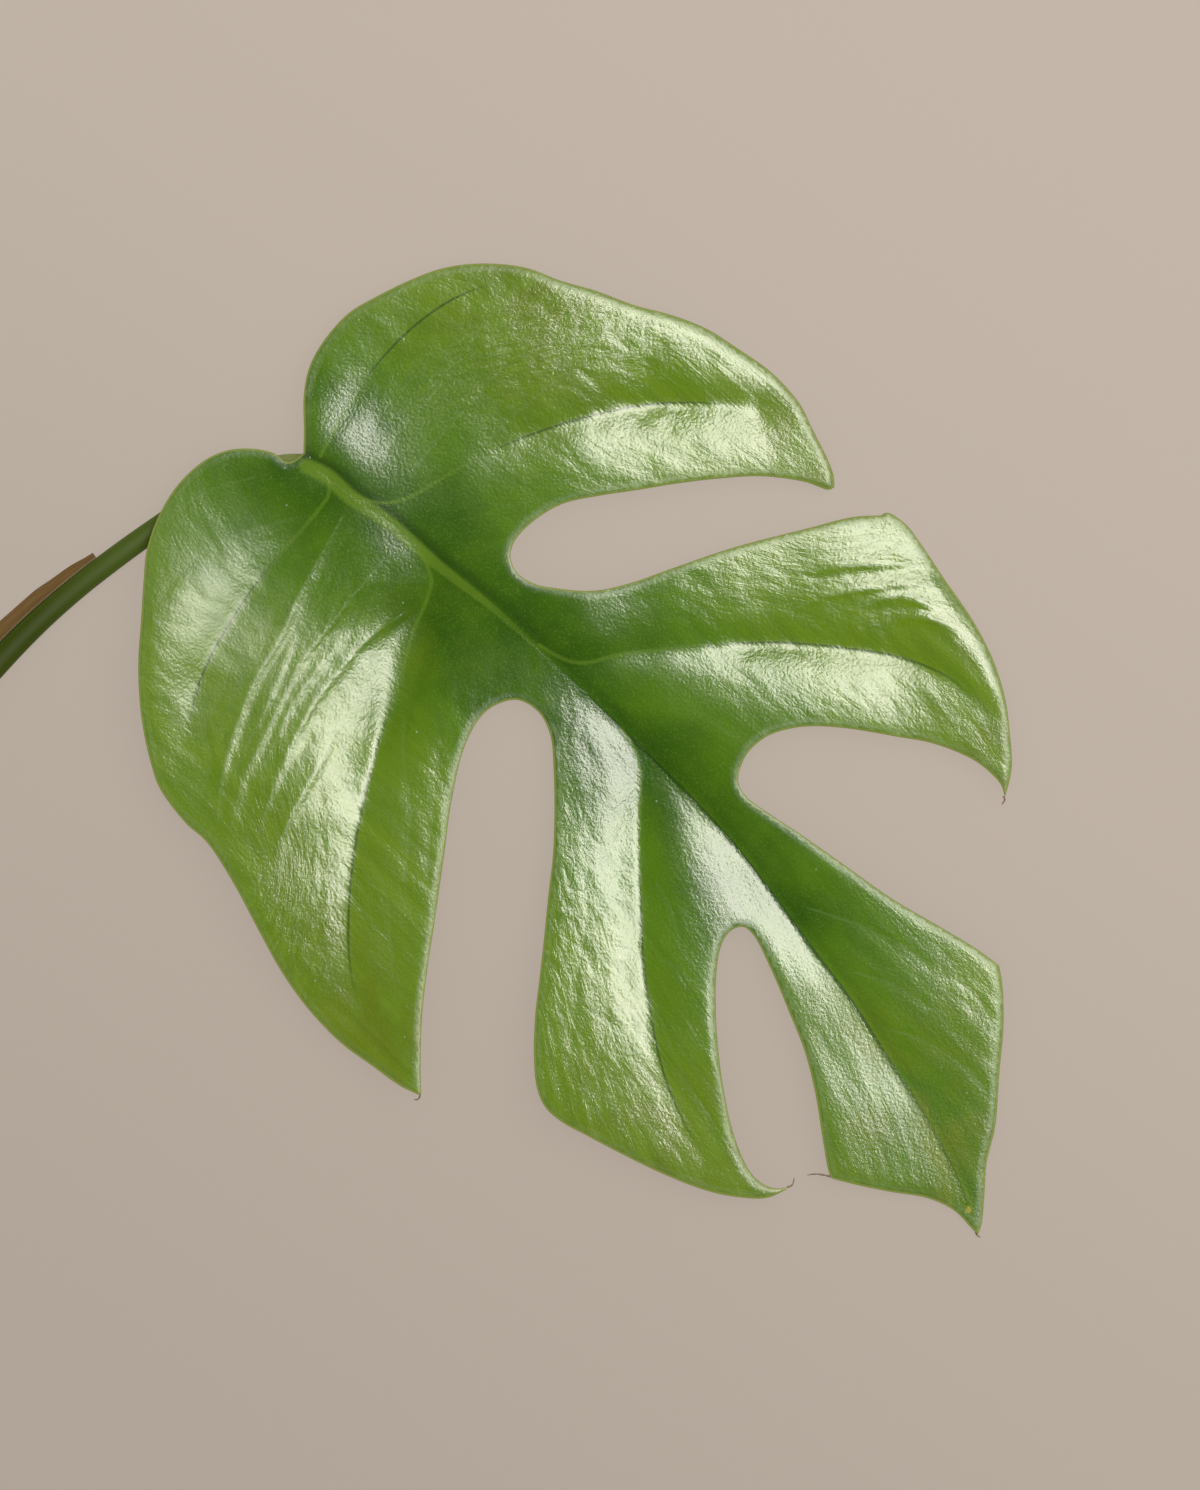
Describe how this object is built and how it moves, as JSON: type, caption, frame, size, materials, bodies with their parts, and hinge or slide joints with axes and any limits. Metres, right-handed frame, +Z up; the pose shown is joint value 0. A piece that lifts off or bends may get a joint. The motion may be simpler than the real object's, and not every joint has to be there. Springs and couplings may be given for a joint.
{
  "type": "mini monstera leaf",
  "caption": "Picked split leaf, lying face up: a thin domed blade cut into pointed lobes, with ribs below, on a curved stalk with a dry sheath.",
  "frame": {"origin": "middle of the whole leaf's box, on the surface that the leaf lies on", "axes": "+Y from the stalk's joint to the apex along the midrib, +X towards the side of the big whole lobe, where the stalk runs off, +Z up out of the glossy upper face"},
  "size_m": [0.1504, 0.1664, 0.0075],
  "materials": {
    "leaf_green": "satin, glossy upper face",
    "stalk_green": "satin",
    "dry_sheath": "matte, papery"
  },
  "bodies": {
    "root": {"leaf_blade": "leaf_green", "petiole": "stalk_green", "petiole_sheath": "dry_sheath"}
  },
  "joints": []
}
